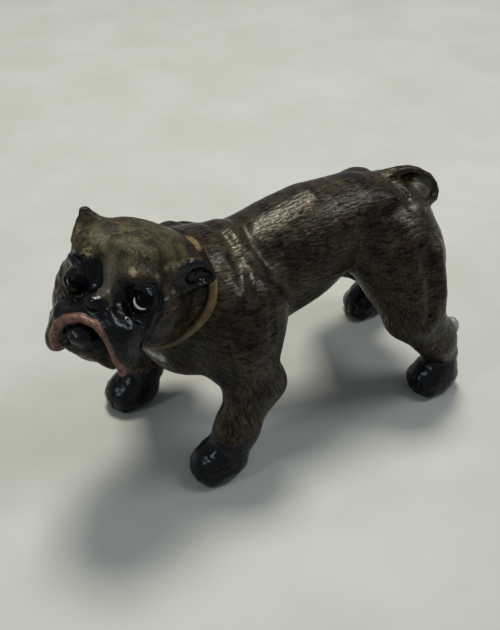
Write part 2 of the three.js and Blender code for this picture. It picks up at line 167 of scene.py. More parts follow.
class Clay:
    """A distance field on a grid, below zero inside, that forms are pressed on to and carved out of."""

    FAR = 8.0

    def __init__(self, low, high, step):
        self.low, self.step = np.array(low, float), step
        self.axes = [np.arange(a, b, step, dtype=np.float32) for a, b in zip(low, high)]
        self.field = np.full([len(a) for a in self.axes], self.FAR, np.float32)

    def like(self, field=None):
        """Another field on the same grid."""
        twin = object.__new__(Clay)
        twin.low, twin.step, twin.axes = self.low, self.step, self.axes
        twin.field = np.full_like(self.field, self.FAR) if field is None else field
        return twin

    def grid(self, cut=(slice(None),) * 3):
        x, y, z = (axis[part] for axis, part in zip(self.axes, cut))
        return x[:, None, None], y[None, :, None], z[None, None, :]

    def _window(self, form, margin):
        parts = []
        for k in range(3):
            first = int((form.low[k] - margin - self.low[k]) // self.step)
            last = int((form.high[k] + margin - self.low[k]) // self.step) + 2
            parts.append(slice(max(first, 0), max(min(last, len(self.axes[k])), 0)))
        return tuple(parts)

    def _press(self, form, blend, sign):
        cut = self._window(form, blend + 3 * self.step)
        field = sign * self.field[cut]
        if not field.size:
            return
        distance = form.distance(*self.grid(cut)).astype(np.float32)
        soft = np.maximum(blend - np.abs(field - distance), 0)
        self.field[cut] = sign * (np.minimum(field, distance) - soft * soft / blend / 4)

    def add(self, form, blend=1.0):
        self._press(form, blend, 1)

    def carve(self, form, blend=1.0):
        self._press(form, blend, -1)

    def sample(self, points):
        """The field at any points, between the grid's own."""
        at = (points - self.low) / self.step
        limit = np.array(self.field.shape) - 2
        first = np.clip(np.floor(at).astype(int), 0, limit)
        t = np.clip(at - first, 0, 1)
        value = 0.0
        for corner in np.ndindex(2, 2, 2):
            weight = np.prod(np.where(corner, t, 1 - t), axis=1)
            i, j, k = (first + corner).T
            value = value + weight * self.field[i, j, k]
        return value

    def slope(self, points):
        """The field's direction of steepest rise, which is the skin's normal."""
        e = self.step
        rise = [self.sample(points + e * axis) - self.sample(points - e * axis) for axis in np.eye(3)]
        rise = np.stack(rise, 1)
        return rise / np.maximum(np.linalg.norm(rise, axis=1, keepdims=True), 1e-9)

    def drawn_on(self, points, depth):
        """Points moved on to the surface, and then to a depth under it."""
        for _ in range(4):
            points = points - self.slope(points) * self.sample(points)[:, None]
        return points - self.slope(points) * depth

    def skin(self):
        tree = openvdb.FloatGrid(background=self.FAR)
        tree.copyFromArray(self.field)
        points, quads = tree.convertToQuads(isovalue=0.0)
        return points * self.step + self.low, quads


def merged(a, b, blend):
    """The union of two fields, with a fillet where they meet."""
    soft = np.maximum(blend - np.abs(a - b), 0)
    return np.minimum(a, b) - soft * soft / blend / 4


# ---- The dog ------------------------------------------------------------------------------------
def body(clay):
    """The trunk from the stump of the neck to the rump."""
    back = [((0, -9, 36.5), 9.5), ((0, 2, 40), 9.6), ((0, 17, 44.4), 9.2), ((0, 27, 44.6), 8.9),
            ((0, 35, 41.5), 8.6)]
    clay.add(Limb(back), 2)
    clay.add(Ball((0, -7, 34.5), (14.6, 14, 14), (6, 0, 0)), 5)          # ribs
    clay.add(Ball((0, 10, 38.4), (11.6, 17, 10.8), (11, 0, 0)), 6)       # belly
    clay.add(Ball((0, 36.5, 38), (11.5, 11.5, 11.5), (-20, 0, 0)), 6)    # rump
    clay.add(Ball((1, -14, 30), (10.5, 9.5, 9)), 5)                      # brisket
    clay.add(Limb([((0, -8, 38), 12.4), ((0.5, -20, 42.5), 11.6)]), 4)   # neck


def front_leg(clay, s):
    (px, py), y = FRONT_PAWS[s], STEP_BACK[s]
    clay.add(Ball((s * 12.3, y - 6, 34.5), (6.8, 9, 12.5), (-14, 0, 0)), 4)
    clay.add(Limb([((s * 13, y - 7.5, 31), 7), ((s * 15, y - 5.5, 22), 5.6)]), 4)
    clay.add(Limb([((s * 15, y - 5.4, 21.5), 5.4), ((px + s * 0.3, py + 3.8, 11), 4.3)]), 3)
    clay.add(Ball((s * 15.6, y - 1.6, 21), (2.9, 3.2, 4), (25, 0, 0)), 2.5)
    clay.add(Ball((s * 17.6, y - 2.2, 24.2), (2.2, 2.4, 3.2), (25, 0, 0)), 1.2)      # elbow
    clay.add(Limb([((px + s * 0.3, py + 3.8, 11), 4.2), ((px, py + 1.4, 5), 4.4)]), 3)
    paw(clay, px, py - 0.8, (5.2, 6.1, 4.5))


def hind_leg(clay, s):
    px, py = HIND_PAWS[s]
    hock = (px * 0.98, py - 2.4, 15.5)
    clay.add(Ball((s * 9, 36, 34), (7.8, 10.6, 13), (25, 0, 0)), 4)
    clay.add(Limb([((s * 12.5, 35, 31), 7.6), ((s * 15, 35.6, 24), 6.9), (hock, 4.7)]), 3)
    clay.add(Limb([(hock, 4.4), ((px, py + 0.6, 10), 3.8), ((px, py + 0.4, 4.5), 4.2)]), 3)
    clay.add(Ball((px * 0.98, py + 2.3, 16.4), (1.9, 2.2, 2.6)), 0.6)                  # point of the hock
    paw(clay, px, py - 1.4, (4.9, 5.7, 4.6))


def paw(clay, x, y, radii):
    """A smooth rounded paw, its four toes barely parted."""
    clay.add(Ball((x, y, 3.6), radii), 2.5)
    for i in (-1.5, -0.5, 0.5, 1.5):
        clay.add(Ball((x + i * 2.2, y - 4.1 + 0.5 * i * i, 2.3), (1.3, 1.6, 1.9)), 1.6)
    for i in (-1, 0, 1):
        front = (x + i * 2.2, y - 6.2 + 0.5 * i * i, 1.6)
        clay.carve(crease([front, (x + i * 2.1, y - 5.2, 3.6), (x + i * 1.9, y - 3.8, 5.6)], 0.12), 0.7)


def muscles(clay):
    """The folds and hollows of the coat, on both sides of the body."""
    for s in (1, -1):
        lift = STEP_BACK[s]
        clay.add(Ball((s * 5.4, 32, 48.9), (2.6, 3.6, 2.4)), 2)                          # hip bone
        clay.add(rope(s, [(14.6, 40, 38.4), (18.4, 39.4, 30), (18.2, 39.6, 22)], 1.9, WORLD), 2.0)
        clay.carve(crease(mirrored(s, [(17.0, 36, 39), (20.4, 35.4, 32), (20.8, 35.6, 27)]), 0.4), 2.2)
        shoulder = [(17.0, -2.6, 44), (19.2, -3.2, 38.6), (20.0, -3.6, 34), (19.6, -2.4, 29)]
        clay.carve(crease([(s * x, y + lift, z) for x, y, z in shoulder], 0.4), 1.5)
        arm = [(17.6, -12.5, 36), (18.8, -12.5, 31), (18.0, -12.3, 26)]
        clay.carve(crease([(s * x, y + lift, z) for x, y, z in arm], 0.4), 2.0)
        clay.carve(crease(mirrored(s, [(3.4, 36.0, 51.2), (5.6, 37.2, 49.8), (7.4, 37.4, 48.6)]), 0.5), 1.6)
    nape = [(-14.5, -7.9, 45.3), (-8.8, -5.1, 48.3), (0, -4.5, 51.1), (5.4, -4.7, 50.0), (10.3, -5.6, 47.9),
            (15.4, -7.7, 45.2), (17.6, -9.4, 41.5), (18.6, -9.6, 38)]
    clay.carve(crease(nape, 0.55), 2.0)
    withers = [(-13.2, -1.5, 45.6), (-7, 0.4, 49), (0, 0.6, 50.9), (4.3, -0.4, 50.2), (7.6, 0.5, 48.4),
               (11, 0.8, 46.1), (14.2, -0.3, 45)]
    clay.carve(crease(withers, 0.45), 1.8)


def on_head(centre, radii, turn=(0, 0, 0)):
    """A ball given in the head's own frame, in which it looks along -Y."""
    return Ball(centre, radii, turn, HEAD)


def mirrored(s, points):
    return [(s * p[0], p[1], p[2]) for p in points]


def rope(s, points, radius, frame=HEAD):
    return Limb([(p, radius) for p in mirrored(s, points)], frame)


FACE_X = 0.8                                   # the features sit a little to the left of the skull
EYE = {1: (FACE_X + 7.4, -8.2, 1.55), -1: (FACE_X - 6.7, -8.6, 1.75)}
EYE_RADIUS = 2.55
NOSE = (FACE_X - 0.4, -14.0, 0.1)
LIP = [(-6.6, -12.9, -11.4), (-7.2, -13.7, -8.8), (-6.5, -14.2, -6.3), (-4.5, -14.5, -4.4),
       (-1.4, -14.9, -3.3), (1.6, -14.9, -3.7), (3.9, -14.3, -5.7), (5.3, -13.5, -8.4), (6.5, -12.7, -10.8),
       (7.5, -12.0, -13.0)]
ROLL = [(-8.2, -9.8, -2.0), (-6.0, -11.2, -0.4), (-3.6, -12.1, 0.9), (-1.6, -12.7, 2.2), (0.6, -12.9, 2.7),
        (2.4, -12.8, 2.1), (3.5, -12.9, 0.7), (4.0, -13.2, -1.2)]
BRIDGE = [(1.2, -7.6, 10.0), (1.4, -9.6, 6.6), (1.8, -11.2, 3.9), (2.1, -12.3, 2.0)]
CHEEK = {1: ((7.5, -0.4, -3.2), (6.0, 7.8, 7.2)), -1: ((-8.0, 0.4, -4.3), (6.2, 8.3, 8.4))}
FLEW = {1: ((6.5, -9.8, -8.9), (2.5, 4.1, 4.1)), -1: ((-7.6, -9.6, -9.2), (2.7, 4.2, 4.4))}


def skull(clay):
    """The domed skull with its cheeks, parted by a shallow furrow."""
    clay.add(on_head((0, 1.2, 3.4), (11.7, 11.9, 10.7)), 4)
    for s in (1, -1):
        clay.add(on_head(*CHEEK[s]), 4)
        clay.add(on_head((s * 4.6, -5.4, 8.6), (4.4, 4.2, 3.6)), 2.5)                # frontal bone
    clay.carve(crease([(0.4, -6.6, 12.6), (0, -3, 14.4), (0, 2, 14.8)], 0.4, HEAD), 1.8)


def eye(clay, s):
    """A round orbit under a brow, and lids round the ball: wide open on the left, narrowed on the right."""
    x, y, z = EYE[s]
    clay.carve(on_head((x + s * 0.3, y - 4.4, z + 0.2), (4.5, 4.0, 4.0)), 2.2)
    rim = [(-3.0, -0.7, 2.6), (-2.0, -1.1, 3.8), (-0.4, -0.8, 4.5), (1.6, 0.3, 4.3)]
    clay.add(Limb([((x + s * a, y + b, z + c), 0.8) for a, b, c in rim], HEAD), 2.6)
    clay.add(on_head((x, y + 0.1, z), EYE_RADIUS + 0.35), 0.9)
    wide, high, lean = (2.5, 2.3, 14) if s > 0 else (2.5, 0.75, 16)
    clay.carve(on_head((x - s * 0.1, y - 2.6, z - 0.1), (wide, 2.2, high), (0, lean, 0)), 0.25)
    clay.add(on_head((x, y + 0.05, z), EYE_RADIUS - 0.12), 0.3)
    for drop, out in ((2.9, 2.6), (3.9, 3.0)):
        fold = [(-out, -1.6, -drop * 0.4), (-0.8, -2.3, -drop), (1.6, -1.5, -drop),
                (out + 0.6, 0.4, -drop * 0.5)]
        clay.carve(crease([(x + s * a, y + b, z + c) for a, b, c in fold], 0.2, HEAD), 0.9)


def brows(clay):
    """Wrinkled skin over the orbits, deeper on the right."""
    for s, lift in ((1, 0), (-1, 1.2)):
        clay.add(on_head((FACE_X + s * 4.9, -8.5, 6.3 + lift), (2.3, 1.8, 1.5), (0, s * 14, 0)), 2.2)
    clay.add(Limb([((-8.0, -7.9, 5.4), 0.8), ((-6.2, -9.1, 5.4), 1.0), ((-4.2, -10.0, 4.3), 0.7)], HEAD), 0.8)
    furrow = [HEAD.point(p) for p in ((-8.8, -7.4, 6.9), (-6.4, -8.9, 6.9), (-4.0, -9.7, 6.0))]
    clay.carve(crease(clay.drawn_on(np.array(furrow), 0.0), 0.4), 0.8)
    clay.carve(on_head((-1.8, -11.3, 5.4), (0.9, 1.0, 2.6), (0, -14, 0)), 2.4)


def muzzle(clay):
    """The muzzle with its flews, the bridge of the nose, and the roll of skin over the nose."""
    clay.add(on_head((0, -8.6, -4.0), (8.6, 5.8, 5.6)), 3)
    for s in (1, -1):
        clay.add(on_head((s * 4.3, -10.8, -5.0), (4.8, 4.2, 4.6), (0, s * -18, 0)), 2)
        clay.add(on_head(*FLEW[s], (0, s * -10, 0)), 2)
    clay.add(Limb([(p, r) for p, r in zip(BRIDGE, (0.8, 0.9, 0.9, 0.8))], HEAD), 2.6)
    clay.add(Limb([(p, 0.6) for p in ROLL], HEAD), 1.2)


def nose(clay):
    """A flat, pushed-in nose: a wedge of leather with two comma nostrils and a groove down to the lip."""
    x, y, z = NOSE
    clay.add(on_head((x, y + 0.6, z), (1.9, 1.5, 1.6)), 0.6)
    clay.add(on_head((x - 0.1, y + 0.35, z - 0.9), (1.1, 0.9, 0.9)), 0.5)
    for s in (1, -1):
        clay.add(on_head((x + s * 1.2, y + 0.8, z - 0.2), (1.35, 1.25, 1.35), (0, s * 20, 0)), 0.4)
    clay.carve(on_head((x, y - 2.4, z + 5.5), (5.0, 4.8, 4.6)), 0.5)
    for s in (1, -1):
        nostril = [((x + s * 1.2, y - 0.65, z - 0.5), 0.30), ((x + s * 1.75, y - 0.4, z - 0.2), 0.44),
                   ((x + s * 2.3, y + 0.1, z - 0.6), 0.30)]
        clay.carve(Limb(nostril, HEAD), 0.3)
    groove = [(x, y - 0.8, z - 0.9), (x, y - 0.8, z - 1.7), (x + 0.1, y - 0.8, z - 3.0)]
    clay.carve(crease(groove, 0.2, HEAD), 0.4)


def mouth(clay):
    """A horseshoe of lip around the undershot lower jaw."""
    clay.carve(on_head((-0.3, -14.6, -9.6), (5.6, 3.0, 5.3)), 0.8)
    clay.add(on_head((-0.2, -10.3, -9.2), (5.3, 4.0, 3.9)), 0.8)
    clay.add(on_head((3.8, -10.0, -10.6), (3.2, 3.0, 3.0)), 0.8)
    clay.add(on_head((-1.4, -13.7, -7.1), (3.0, 2.3, 2.4), (0, 8, 0)), 0.5)                   # chin boss
    lower = [(-5.8, -11.7, -10.6), (-3.4, -13.0, -10.6), (0.0, -13.2, -10.4), (3.2, -12.4, -11.4),
             (5.0, -11.4, -12.4)]
    clay.add(rope(1, lower, 0.85), 0.7)
    clay.add(rope(1, LIP, 0.82), 0.4)


def wrinkles(clay):
    """The folds of the cheeks, drawn as thin ridges."""
    for s in (1, -1):
        for line in ([(5.9, -11.4, -3.2), (8.1, -10.6, -5.7), (8.6, -9.8, -8.3), (8.2, -9.6, -10.6)],
                     [(10.2, -7.2, -1.4), (9.8, -8.1, -4.0), (8.5, -10.2, -5.9)],
                     [(10.8, -6.8, -3.2), (10.9, -7.0, -6.6), (10.2, -7.0, -9.2)],
                     [(11.8, -5.6, 1.0), (12.6, -4.0, 2.0), (13.2, -2.4, 2.6)],
                     [(11.6, -5.6, -1.6), (12.8, -3.6, -0.6), (13.6, -1.6, 0.4)]):
            course = clay.drawn_on(np.array([HEAD.point(p) for p in mirrored(s, line)]), 0.05)
            clay.add(Limb([(p, 0.22) for p in course]), 0.8)


def plain_dog(clay):
    """Everything but the ears and the tail."""
    body(clay)
    for s in (1, -1):
        front_leg(clay, s)
        hind_leg(clay, s)
    muscles(clay)
    skull(clay)
    muzzle(clay)
    for s in (1, -1):
        eye(clay, s)
    brows(clay)
    nose(clay)
    mouth(clay)
    wrinkles(clay)


def ears(clay):
    """The left ear is folded back like a rose leaf, and the right is pricked."""
    upper = [((10.4, -3.4, 6.4), 1.4), ((11.8, -0.6, 7.4), 1.2), ((13.2, 1.8, 8.1), 1.0),
             ((14.8, 4.0, 7.5), 0.85), ((16.0, 5.8, 6.2), 0.7), ((16.7, 7.0, 4.9), 0.5)]
    lower = [((11.8, -2.8, 2.2), 1.0), ((13.2, 1.0, 2.6), 0.8), ((14.4, 3.6, 2.9), 0.6),
             ((15.6, 5.6, 3.4), 0.5), ((16.7, 6.9, 4.4), 0.45)]
    clay.add(on_head((13.0, 1.8, 5.2), (1.4, 5.0, 2.6), (0, 0, -22)), 1)
    clay.add(on_head((15.2, 5.2, 5.0), (1.1, 2.6, 1.7), (0, 0, -32)), 0.8)
    clay.add(Limb(upper, HEAD), 0.7)
    clay.add(Limb(lower, HEAD), 0.6)
    clay.carve(on_head((14.9, 2.9, 5.2), (1.4, 3.6, 1.6), (0, 0, -26)), 0.6)
    pricked = [((-8.8, 1.5, 8.2), 3.0), ((-9.9, 1.0, 11.4), 1.7), ((-10.6, 0.6, 13.2), 0.85)]
    back_edge = [((-6.0, 3.0, 10.4), 2.0), ((-8.4, 1.6, 11.9), 1.1), ((-10.4, 0.7, 13.1), 0.85)]
    front_edge = [((-10.0, -2.4, 7.8), 1.4), ((-10.9, -0.8, 11), 0.85), ((-10.8, 0.4, 13.1), 0.75)]
    clay.add(Limb(pricked, HEAD), 1)
    clay.add(Limb(back_edge, HEAD), 1.2)
    clay.add(Limb(front_edge, HEAD), 0.8)
    clay.carve(on_head((-11.9, 0.4, 10.6), (1.2, 1.4, 2.3), (-8, -10, 0)), 0.7)


def tail(clay):
    """A short tail that curls over to the left, its rim standing round a hollow on the rump."""
    rim = [((0.3, 34.0, 50.2), 2.2), ((0.4, 36.7, 51.0), 1.8), ((0.8, 39.0, 51.7), 1.3),
           ((1.2, 41.5, 51.8), 1.0), ((1.8, 44.0, 50.9), 0.9), ((2.4, 46.5, 49.3), 0.85),
           ((3.0, 47.9, 47.3), 0.8), ((3.8, 48.0, 45.8), 0.8), ((4.8, 47.0, 44.8), 0.75),
           ((5.8, 44.7, 44.9), 0.7), ((7.0, 41.3, 45.9), 0.6), ((8.0, 38.4, 46.6), 0.45)]
    web = [((0.2, 38.8, 50.2), 1.4), ((0.4, 41.6, 50.0), 1.4), ((0.9, 44.0, 49.0), 1.4),
           ((1.6, 46.2, 47.6), 1.3), ((2.4, 46.8, 46.2), 1.3), ((3.2, 46.0, 45.0), 1.3),
           ((4.4, 44.4, 44.8), 1.2)]
    clay.add(Limb(web), 0.6)
    clay.add(Ball((2.2, 43.4, 46.4), (3.0, 4.2, 3.6)), 0.5)
    clay.add(Ball((8.0, 38.4, 45.9), (2.0, 2.5, 2.2)), 1.2)
    clay.add(Limb(rim), 0.5)
    under_rim = [(1.3, 38.6, 50.6), (1.9, 40.5, 50.4), (2.5, 42.2, 50.3), (3.3, 43.9, 49.6),
                 (4.0, 45.1, 48.5), (4.4, 46.2, 46.9)]
    clay.carve(crease(under_rim, 0.65), 0.5)


# ---- Seams --------------------------------------------------------------------------------------
def beyond(clay, point, axis):
    """How far each grid point lies beyond a seam plane."""
    axis = np.array(axis, float) / np.linalg.norm(axis)
    return sum((g - p) * a for g, p, a in zip(clay.grid(), point, axis))


def leg_region(clay, s, seam):
    """Below zero inside one leg: beyond its seam, on its side, in its half of the dog."""
    mirror = (s * seam[0], seam[1], seam[2])
    axis = (s * LEG_SEAM_AXIS[0], 0, LEG_SEAM_AXIS[2])
    x, y, _ = clay.grid()
    midway = (FRONT_SEAM[1] + HIND_SEAM[1]) / 2
    behind = midway - y if seam is HIND_SEAM else y - midway
    return np.maximum(np.maximum(-beyond(clay, mirror, axis), -s * x), behind)


# ---- Chased hair --------------------------------------------------------------------------------
def hashed(cells, seed):
    """Four even random numbers for each cell of a lattice."""
    key = (cells * np.array([73856093, 19349663, 83492791])).sum(1) + seed * 2654435
    key = key.astype(np.uint32)
    numbers = []
    for _ in range(4):
        key = (key ^ (key >> 16)) * np.uint32(0x45D9F3B)
        key = (key ^ (key >> 15)) * np.uint32(0x2C1B3C6D)
        key = key ^ (key >> 16)
        numbers.append(key / np.float64(2 ** 32))
    return np.stack(numbers, 1)


def strokes(points, normals, flow, cell, length, width, stray, seed):
    """How deep each point lies in a chisel stroke, 0 to 1. One stroke starts in each lattice cell."""
    flow = flow - normals * (flow * normals).sum(1, keepdims=True)
    flow = flow / np.maximum(np.linalg.norm(flow, axis=1, keepdims=True), 1e-6)
    across = np.cross(normals, flow)
    home = np.floor(points / cell).astype(np.int64)
    groove = np.zeros(len(points))
    for shift in np.ndindex(3, 3, 3):
        cells = home + np.array(shift) - 1
        chance = hashed(cells, seed)
        delta = points - (cells + chance[:, :3]) * cell
        turn = (chance[:, 3] - 0.5) * stray
        a, b = (delta * flow).sum(1), (delta * across).sum(1)
        along = a * np.cos(turn) + b * np.sin(turn)
        aside = b * np.cos(turn) - a * np.sin(turn)
        away = (delta * normals).sum(1)
        mark = np.exp(-(along / length) ** 2 - (aside / width) ** 2 - (away / (0.7 * cell)) ** 2)
        groove = np.maximum(groove, mark * (0.45 + 0.55 * chance[:, 0]))
    return groove


def step(value, low, high):
    """0 below low, 1 above high and smooth between."""
    t = np.clip((value - low) / (high - low), 0, 1)
    return t * t * (3 - 2 * t)


def wander(points, size):
    """A slow, even unevenness between about -1 and 1."""
    x, y, z = (points / size * 2 * math.pi).T
    return (np.sin(x + 1.3 * np.sin(y * 0.7)) + np.sin(1.1 * y + 1.7 * np.sin(z * 0.6)) +
            np.sin(0.9 * z + 1.1 * np.sin(x * 0.8))) / 3


def lie_of_hair(points):
    """The way the hair lies: back from the nose, along the body, and down the legs."""
    head_points = HEAD.local(points)
    from_nose = (head_points - np.array((FACE_X, -15.0, -1.0))) @ HEAD.turn.T
    from_nose /= np.linalg.norm(from_nose, axis=1, keepdims=True)
    back = np.zeros_like(points) + (0.0, 1.0, -0.12)
    back[:, 2] += 0.10 * wander(points, 9.0)
    back[:, 0] += 0.10 * wander(points + 5, 7.0)
    down = np.zeros_like(points) + (0.0, 0.25, -1.0)
    down[:, 1] += 0.25 * wander(points + 3, 8.0)
    axis = np.array(COLLAR_AXIS) / np.linalg.norm(COLLAR_AXIS)
    headward = step((points - np.array(COLLAR_AT)) @ axis, -4, 1)[:, None]
    legward = step(-points[:, 2], -32, -24)[:, None]
    flow = back * (1 - legward) + down * legward
    return flow * (1 - headward) + from_nose * headward


def near(points, form):
    """How far points lie outside a form."""
    return form.distance(*points.T)


def paints(points, head_points, convex):
    """The painter's masks at each point, by name, from 0 to 1."""
    edge = 0.8 * wander(points, 3.1)
    black = step(PAW_PAINT_TOP + 1.5 * wander(points, 6.0) - points[:, 2], -0.8, 0.8)
    patches = [on_head((8.6, -9.4, 0.8), (5.6, 4.8, 5.2)),                       # left eye
               on_head((-5.0, -9.6, 3.4), (5.2, 5.2, 4.7)),                      # right eye
               on_head((8.0, -10.0, -5.6), (3.6, 4.6, 6.2), (0, -14, 0)),        # left cheek
               on_head((0, -12, -5.0), (9.5, 5, 5.6)),                           # muzzle
               on_head((15.0, 2.6, 5.8), (3.4, 6.0, 3.8), (0, 0, -26)),          # ears
               on_head((-11.9, 0.4, 10.6), (1.7, 2.4, 3.0)),
               on_head(NOSE, (2.9, 2.6, 1.5))]
    for patch in patches:
        black = np.maximum(black, step(-near(points, patch) + 0.4 * edge, -1.0, 0.7))
    bridge = Limb([(p, r) for p, r in zip(BRIDGE, (1.5, 1.6, 1.5, 1.7))], HEAD)
    pale = step(-near(points, bridge) + 0.3 * edge, -0.7, 0.5)
    roll = Limb([(p, 1.0) for p in ROLL[1:-1]], HEAD)
    pale = np.maximum(pale, 0.8 * step(-near(points, roll) + 0.3 * edge, -0.6, 0.4))
    pale = pale * (1 - step(-near(points, patches[-1]), -0.3, 0.2))
    in_tail = (Ball((3.8, 43.4, 47.6), (2.0, 2.6, 2.4)), Ball((8.6, 38.0, 46.6), (1.4, 1.6, 1.6)))
    for form in in_tail:
        pale = np.maximum(pale, step(-near(points, form) + 0.3 * edge, -0.7, 0.4))
    black = black * (1 - pale)
    lip = step(HEAD_SIZE - near(points, Limb([(p, 0.0) for p in LIP], HEAD)), -0.16, 0.10)
    # Golden spots on the brows and one on the left ear: worn metal that is also painted brighter as
    # highlights.
    gold_rub_and_highlight = np.zeros(len(points))
    for centre, size in (((6.0, -10.6, 6.9), 0.4), ((-3.8, -10.0, 8.2), 0.5), ((13.2, 1.6, 9.0), 0.1)):
        gold_rub_and_highlight = np.maximum(gold_rub_and_highlight, step(-near(points, on_head(centre, size)), -1.1, 0.3))
    bare = step(-near(points, Ball(HOCK_CHIP, (2.3, 2.3, 2.3))) + 0.5 * edge, -0.2, 0.4)
    throat = Ball(THROAT_CHIP, (2.6, 1.8, 1.2), (0, 0, 30))
    bare = np.maximum(bare, step(-near(points, throat) + 0.6 * edge, -0.4, 0.5))
    warm = step(wander(points, 11.0) + 0.6 * wander(points, 4.0), 0.0, 0.8)
    in_skull = step(-near(points, on_head((0, 1, 3), (13, 13, 12))), -4.0, 0.0)
    olive = step(head_points[:, 2], 2.0, 8.0) * in_skull
    olive = olive * (1 - step(head_points[:, 1], 4.0, 10.0))
    legs = step(-points[:, 2], -33, -26)
    # Dark patina in the hollows, plus painted shade in the ring of lid round each eye, below the upper lid.
    hollow_patina_and_shade = step(-convex, 0.02, 0.22)
    for s in (1, -1):
        lids = step(-near(points, on_head(EYE[s], EYE_RADIUS)), -1.6, -0.6)
        above = step(head_points[:, 2], EYE[s][2] + 1.2, EYE[s][2] + 2.2)
        hollow_patina_and_shade = np.maximum(hollow_patina_and_shade, 0.8 * lids * (1 - above))
    return {"black": black, "pale": pale, "lip": lip, "warm": warm, "gold_rub_and_highlight": gold_rub_and_highlight, "bare": bare,
            "olive": olive * (1 - black), "legs": legs,
            "wear": step(convex, 0.05, 0.28), "hollow_patina_and_shade": hollow_patina_and_shade}


# ---- Pieces -------------------------------------------------------------------------------------
def to_metres(points):
    return (points - np.array(BOX_CENTRE)) * 0.001


def chase(clay, points):
    """Cuts the coat's strokes into a skin, and returns its points, normals and paint masks."""
    normals = clay.slope(points)
    around = [clay.sample(points + 0.7 * sign * axis) for axis in np.eye(3) for sign in (1, -1)]
    convex = np.mean(around, 0) - clay.sample(points)
    masks = paints(points, HEAD.local(points), convex)
    flow = lie_of_hair(points)
    long_hair = strokes(points, normals, flow, 1.0, 1.5, 0.17, 0.45, 1)
    short_hair = strokes(points, normals, flow, 0.8, 0.7, 0.15, 0.9, 2)
    patchy = 0.55 + 0.45 * wander(points, 8.0)
    groove = np.maximum(long_hair, 0.7 * short_hair * patchy) * (1 - masks["black"]) * (1 - masks["lip"])
    calm = step(-near(points, on_head((0, 0, 0), (14, 15, 15))), -3.0, 0.0)
    groove = groove * (1 - 0.8 * masks["pale"]) * (1 - 0.5 * calm)
    masks["chase"] = groove
    uneven = 0.05 * wander(points, 2.9) + 0.035 * wander(points + 7, 1.7)
    uneven = uneven * (0.6 + masks["black"]) * (1 - masks["lip"])
    return points + normals * (uneven - STROKE_DEPTH * groove)[:, None], normals, masks


def mesh_piece(name, points, faces, masks, material, replaces, normals=None, rim=None):
    """A piece over a CAD node. Its shading normals turn to the given ones along its rim.

    The faces are arrays of corners, one array for the quads and one for the triangles.
    """
    corners = np.concatenate([part.ravel() for part in faces]).astype(np.int32)
    sizes = np.concatenate([np.full(len(part), part.shape[1], np.int32) for part in faces])
    mesh = bpy.data.meshes.new(name)
    mesh.vertices.add(len(points))
    mesh.vertices.foreach_set("co", to_metres(points).astype(np.float32).ravel())
    mesh.loops.add(len(corners))
    mesh.loops.foreach_set("vertex_index", corners)
    mesh.polygons.add(len(sizes))
    mesh.polygons.foreach_set("loop_start", (np.cumsum(sizes) - sizes).astype(np.int32))
    mesh.update(calc_edges=True)
    mesh.polygons.foreach_set("use_smooth", np.ones(len(sizes), bool))
    if normals is not None:
        own = np.empty(3 * len(points), np.float32)
        mesh.vertex_normals.foreach_get("vector", own)
        own = own.reshape(-1, 3) * (1 - rim[:, None]) + normals * rim[:, None]
        mesh.normals_split_custom_set_from_vertices(own)
    for key, value in masks.items():
        layer = mesh.attributes.new(key, "FLOAT", "POINT")
        layer.data.foreach_set("value", np.asarray(value, np.float32))
    mesh.materials.append(material)
    piece = bpy.data.objects.new(name, mesh)
    bpy.context.scene.collection.objects.link(piece)
    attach(piece, "root")
    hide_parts(replaces)
    return piece


def skin_piece(name, clay, region, material, inset=0.0):
    """One casting: the part of the whole dog inside a region, with a lap for its neighbour."""
    field = np.maximum(clay.field + inset, region - LAP)
    points, quads = clay.like(field).skin()
    reach = clay.like(region).sample(points)
    points, normals, masks = chase(clay, points)
    rim = step(reach, LAP - 2.2 * clay.step, LAP - 1.2 * clay.step)
    mesh_piece(name + "_skin", points, (quads,), masks, material, name, normals, rim)


def eyeball(s):
    """A ball with a swelling cornea, ringed round its gaze, and the white of the eye as a crescent."""
    gaze = Vector((0.36, -0.88, 0.30)).normalized()
    turn = np.array(gaze.to_track_quat("Z", "Y").to_matrix())
    rings, spokes = 56, 84
    theta = np.linspace(0, math.pi, rings + 1)[1:-1, None]
    phi = np.linspace(0, 2 * math.pi, spokes, endpoint=False)[None, :]
    unit = np.stack([np.sin(theta) * np.cos(phi), np.sin(theta) * np.sin(phi), np.cos(theta) + 0 * phi], -1)
    unit = np.concatenate([[[0, 0, 1]], unit.reshape(-1, 3), [[0, 0, -1]]])
    radius = EYE_RADIUS + 0.06 * step(unit[:, 2], 0.4, 1.0)
    unit = unit @ turn.T
    points = np.array([HEAD.point(p) for p in unit * radius[:, None] + np.array(EYE[s])])
    last = len(points) - 1
    here = np.arange(spokes)
    there = (here + 1) % spokes
    quads = [np.stack([row + here, row + spokes + here, row + spokes + there, row + there], 1)
             for row in 1 + spokes * np.arange(rings - 2)]
    caps = [np.stack([0 * here, 1 + here, 1 + there], 1),
            np.stack([last + 0 * here, last - spokes + there, last - spokes + here], 1)]
    corner = np.array((-0.26, -0.80, -0.56))
    tilt = np.array(gaze) * math.cos(math.radians(29)) + sideways(gaze, corner) * math.sin(math.radians(29))
    white = step(unit @ tilt, math.cos(math.radians(38)), math.cos(math.radians(35)))
    iris = step(unit @ np.array(gaze), math.cos(math.radians(47)), math.cos(math.radians(45)))
    white = white * (1 - iris) * (1.0 if s > 0 else 0.25)
    return points, (np.concatenate(quads), np.concatenate(caps)), {"white": white}


def sideways(gaze, corner):
    """The direction square to the gaze that leads to a corner of the eye."""
    side = corner - np.array(gaze) * (corner @ np.array(gaze))
    return side / np.linalg.norm(side)


